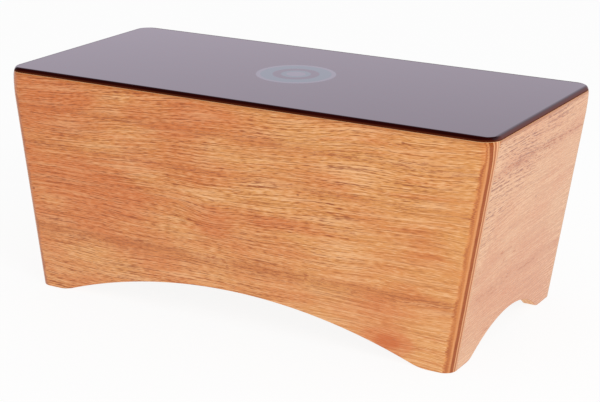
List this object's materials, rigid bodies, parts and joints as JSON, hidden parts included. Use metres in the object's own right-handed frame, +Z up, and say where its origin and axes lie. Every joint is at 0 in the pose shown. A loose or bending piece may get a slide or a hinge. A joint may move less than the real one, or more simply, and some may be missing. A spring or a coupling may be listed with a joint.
{
  "type": "bongo cajon",
  "caption": "Lap bongo cajon: open-bottomed plywood box with leaning ends, arched feet, a small and a large chamber and a thin glossy playing surface, struck with the hands.",
  "frame": {"origin": "on the floor, under the middle of the box", "axes": "+X along the length towards the large chamber, +Y from the front panel to the back panel, +Z up through the playing surface"},
  "size_m": [0.499, 0.229, 0.212],
  "materials": {
    "plate_lacquer": "thin wood plate under dark red-brown high-gloss lacquer",
    "panel_veneer": "orange-tan veneered plywood with dark pores, satin clear lacquer, plies showing at the edges",
    "divider_plywood": "bare sanded light plywood",
    "batten_wood": "bare planed softwood"
  },
  "bodies": {
    "root": {"playing_surface": "plate_lacquer", "front_panel": "panel_veneer", "back_panel": "panel_veneer", "left_end_panel": "panel_veneer", "right_end_panel": "panel_veneer", "divider": "divider_plywood", "front_batten_small": "batten_wood", "front_batten_large": "batten_wood", "back_batten_small": "batten_wood", "back_batten_large": "batten_wood", "end_batten_small": "batten_wood", "end_batten_large": "batten_wood", "corner_block_front_left": "batten_wood", "corner_block_front_right": "batten_wood", "corner_block_back_left": "batten_wood", "corner_block_back_right": "batten_wood", "divider_cleat_front_small": "batten_wood", "divider_cleat_front_large": "batten_wood", "divider_cleat_back_small": "batten_wood", "divider_cleat_back_large": "batten_wood"}
  },
  "joints": []
}
